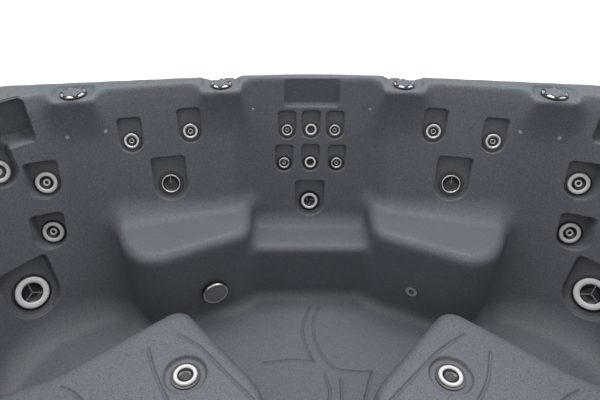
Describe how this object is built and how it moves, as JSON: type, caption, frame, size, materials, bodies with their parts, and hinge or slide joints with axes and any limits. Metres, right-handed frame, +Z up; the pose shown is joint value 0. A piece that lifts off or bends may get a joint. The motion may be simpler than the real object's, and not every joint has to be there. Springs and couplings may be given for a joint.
{
  "type": "hot tub",
  "caption": "Bowed square hot tub with a moulded slate shell, seats, corner scoops, turning jets, rim knobs, skimmer and cabinet.",
  "frame": {"origin": "on the ground under the middle of the tub", "axes": "+X to the right and +Y to the back as seen from the front, +Z up"},
  "size_m": [2.4, 2.36, 0.88],
  "materials": {
    "shell_slate": "finely speckled, low sheen",
    "fitting_black": "gloss black",
    "jet_ring": "polished",
    "knob_grey": "gloss",
    "cabinet_grey": "matte",
    "frame_steel": "brushed",
    "frame_paint": "satin",
    "foam": "matte",
    "pipe_grey": "matte",
    "lens": "clear",
    "filter_white": "pleated"
  },
  "bodies": {
    "tub": {"tub_shell": "shell_slate", "jet_bodies": "fitting_black", "small_jet_nozzles": "jet_ring", "point_lights": "lens", "knob_seats": "fitting_black", "suction_cover": "knob_grey", "suction_body": "fitting_black", "return_fitting": "jet_ring", "skimmer_housing": "fitting_black", "control_panel": "fitting_black", "panel_display": "lens", "base_pan": "cabinet_grey", "corner_covers": "cabinet_grey", "front_panel": "cabinet_grey", "rear_panel": "cabinet_grey", "side_panels": "cabinet_grey", "frame": "frame_paint", "foam_blocks": "foam", "pump_housing": "fitting_black", "pump_motor": "frame_paint", "heater_tube": "frame_steel", "suction_pipe": "pipe_grey", "delivery_pipe": "pipe_grey", "water_manifold": "pipe_grey", "air_manifold": "pipe_grey", "air_blower": "fitting_black", "control_box": "fitting_black", "ozonator": "fitting_black", "drain_body": "fitting_black"},
    "centre_jet": {"centre_jet": "jet_ring"},
    "right_inner_upper_jet": {"right_inner_upper_jet": "jet_ring"},
    "right_outer_upper_jet": {"right_outer_upper_jet": "jet_ring"},
    "right_broad_jet": {"right_broad_jet": "jet_ring"},
    "right_shoulder_jet": {"right_shoulder_jet": "jet_ring"},
    "right_back_jet": {"right_back_jet": "jet_ring"},
    "right_corner_jet": {"right_corner_jet": "jet_ring"},
    "right_heavy_jet": {"right_heavy_jet": "jet_ring"},
    "right_lobe_jet": {"right_lobe_jet": "jet_ring"},
    "left_inner_upper_jet": {"left_inner_upper_jet": "jet_ring"},
    "left_outer_upper_jet": {"left_outer_upper_jet": "jet_ring"},
    "left_broad_jet": {"left_broad_jet": "jet_ring"},
    "left_shoulder_jet": {"left_shoulder_jet": "jet_ring"},
    "left_back_jet": {"left_back_jet": "jet_ring"},
    "left_corner_jet": {"left_corner_jet": "jet_ring"},
    "left_heavy_jet": {"left_heavy_jet": "jet_ring"},
    "left_lobe_jet": {"left_lobe_jet": "jet_ring"},
    "right_inner_knob": {"right_inner_knob": "knob_grey"},
    "right_outer_knob": {"right_outer_knob": "knob_grey"},
    "left_inner_knob": {"left_inner_knob": "knob_grey"},
    "left_outer_knob": {"left_outer_knob": "knob_grey"},
    "jets_key": {"jets_key": "fitting_black"},
    "light_key": {"light_key": "fitting_black"},
    "heat_key": {"heat_key": "fitting_black"},
    "pump_rotor": {"pump_rotor": "frame_steel"},
    "drain_cap": {"drain_cap": "fitting_black"},
    "weir_door": {"weir_door": "fitting_black"},
    "filter_cartridge": {"filter_cartridge": "filter_white"},
    "skimmer_lid": {"skimmer_lid": "fitting_black"},
    "access_door": {"access_door": "cabinet_grey", "door_screws": "frame_steel"}
  },
  "joints": [
    {"name": "centre_jet_turn", "type": "hinge", "parent": "tub", "child": "centre_jet", "pos_m": [0, 1.05953, 0.43107], "axis": [0, -0.944, 0.3301], "range_deg": [-60, 60]},
    {"name": "right_inner_upper_jet_turn", "type": "hinge", "parent": "tub", "child": "right_inner_upper_jet", "pos_m": [0.40324, 1.06997, 0.71303], "axis": [-0.1474, -0.908, 0.3921], "range_deg": [-60, 60]},
    {"name": "right_outer_upper_jet_turn", "type": "hinge", "parent": "tub", "child": "right_outer_upper_jet", "pos_m": [0.59284, 1.03377, 0.69695], "axis": [-0.1475, -0.9057, 0.3974], "range_deg": [-60, 60]},
    {"name": "right_broad_jet_turn", "type": "hinge", "parent": "tub", "child": "right_broad_jet", "pos_m": [0.47866, 1.00778, 0.54412], "axis": [-0.1524, -0.9063, 0.3942], "range_deg": [-60, 60]},
    {"name": "right_shoulder_jet_turn", "type": "hinge", "parent": "tub", "child": "right_shoulder_jet", "pos_m": [0.87206, 0.94797, 0.5896], "axis": [-0.1756, -0.9072, 0.3822], "range_deg": [-60, 60]},
    {"name": "right_back_jet_turn", "type": "hinge", "parent": "tub", "child": "right_back_jet", "pos_m": [0.87536, 0.89393, 0.4226], "axis": [-0.1595, -0.9103, 0.3821], "range_deg": [-60, 60]},
    {"name": "right_corner_jet_turn", "type": "hinge", "parent": "tub", "child": "right_corner_jet", "pos_m": [0.99286, 0.90709, 0.65884], "axis": [-0.6352, -0.6464, 0.4226], "range_deg": [-60, 60]},
    {"name": "right_heavy_jet_turn", "type": "hinge", "parent": "tub", "child": "right_heavy_jet", "pos_m": [0.9429, 0.75744, 0.26868], "axis": [-0.6244, -0.6465, 0.4384], "range_deg": [-60, 60]},
    {"name": "right_lobe_jet_turn", "type": "hinge", "parent": "tub", "child": "right_lobe_jet", "pos_m": [0.3528, 0.36934, 0.368], "axis": [0, 0, 1], "range_deg": [-60, 60]},
    {"name": "left_inner_upper_jet_turn", "type": "hinge", "parent": "tub", "child": "left_inner_upper_jet", "pos_m": [-0.40324, 1.06997, 0.71303], "axis": [0.1474, -0.908, 0.3921], "range_deg": [-60, 60]},
    {"name": "left_outer_upper_jet_turn", "type": "hinge", "parent": "tub", "child": "left_outer_upper_jet", "pos_m": [-0.59284, 1.03377, 0.69695], "axis": [0.1475, -0.9057, 0.3974], "range_deg": [-60, 60]},
    {"name": "left_broad_jet_turn", "type": "hinge", "parent": "tub", "child": "left_broad_jet", "pos_m": [-0.47866, 1.00778, 0.54412], "axis": [0.1524, -0.9063, 0.3942], "range_deg": [-60, 60]},
    {"name": "left_shoulder_jet_turn", "type": "hinge", "parent": "tub", "child": "left_shoulder_jet", "pos_m": [-0.87206, 0.94797, 0.5896], "axis": [0.1756, -0.9072, 0.3822], "range_deg": [-60, 60]},
    {"name": "left_back_jet_turn", "type": "hinge", "parent": "tub", "child": "left_back_jet", "pos_m": [-0.87536, 0.89393, 0.4226], "axis": [0.1595, -0.9103, 0.3821], "range_deg": [-60, 60]},
    {"name": "left_corner_jet_turn", "type": "hinge", "parent": "tub", "child": "left_corner_jet", "pos_m": [-0.99286, 0.90709, 0.65884], "axis": [0.6352, -0.6464, 0.4226], "range_deg": [-60, 60]},
    {"name": "left_heavy_jet_turn", "type": "hinge", "parent": "tub", "child": "left_heavy_jet", "pos_m": [-0.9429, 0.75744, 0.26868], "axis": [0.6244, -0.6465, 0.4384], "range_deg": [-60, 60]},
    {"name": "left_lobe_jet_turn", "type": "hinge", "parent": "tub", "child": "left_lobe_jet", "pos_m": [-0.3528, 0.36934, 0.368], "axis": [0, 0, 1], "range_deg": [-60, 60]},
    {"name": "right_inner_knob_turn", "type": "hinge", "parent": "tub", "child": "right_inner_knob", "pos_m": [0.2952, 1.11805, 0.855], "axis": [0, 0, 1], "range_deg": [-90, 90]},
    {"name": "right_outer_knob_turn", "type": "hinge", "parent": "tub", "child": "right_outer_knob", "pos_m": [0.7524, 1.0502, 0.855], "axis": [0, 0, 1], "range_deg": [-90, 90]},
    {"name": "left_inner_knob_turn", "type": "hinge", "parent": "tub", "child": "left_inner_knob", "pos_m": [-0.2952, 1.11805, 0.855], "axis": [0, 0, 1], "range_deg": [-90, 90]},
    {"name": "left_outer_knob_turn", "type": "hinge", "parent": "tub", "child": "left_outer_knob", "pos_m": [-0.7524, 1.0502, 0.855], "axis": [0, 0, 1], "range_deg": [-90, 90]},
    {"name": "jets_key_press", "type": "slide", "parent": "tub", "child": "jets_key", "axis": [0, 0, -1], "range_m": [0, 0.0015], "stiffness_N_per_m": 400},
    {"name": "light_key_press", "type": "slide", "parent": "tub", "child": "light_key", "axis": [0, 0, -1], "range_m": [0, 0.0015], "stiffness_N_per_m": 400},
    {"name": "heat_key_press", "type": "slide", "parent": "tub", "child": "heat_key", "axis": [0, 0, -1], "range_m": [0, 0.0015], "stiffness_N_per_m": 400},
    {"name": "pump_rotor_spin", "type": "hinge", "parent": "tub", "child": "pump_rotor", "pos_m": [-0.392, -0.745, 0.15], "axis": [0, 1, 0], "continuous": true},
    {"name": "drain_cap_turn", "type": "hinge", "parent": "tub", "child": "drain_cap", "pos_m": [-0.7, -1.11081, 0.11], "axis": [-0.1059, -0.9944, 0], "range_deg": [0, 360]},
    {"name": "weir_door_swing", "type": "hinge", "parent": "tub", "child": "weir_door", "pos_m": [-0.11, -0.962, 0.687], "axis": [1, 0, 0], "range_deg": [0, 60]},
    {"name": "filter_cartridge_lift", "type": "slide", "parent": "tub", "child": "filter_cartridge", "axis": [0, 0, 1], "range_m": [0, 0.145]},
    {"name": "skimmer_lid_lift", "type": "slide", "parent": "tub", "child": "skimmer_lid", "axis": [0, 0, 1], "range_m": [0, 0.3]},
    {"name": "access_door_pull", "type": "slide", "parent": "tub", "child": "access_door", "axis": [0, -1, 0], "range_m": [0, 0.3]}
  ]
}
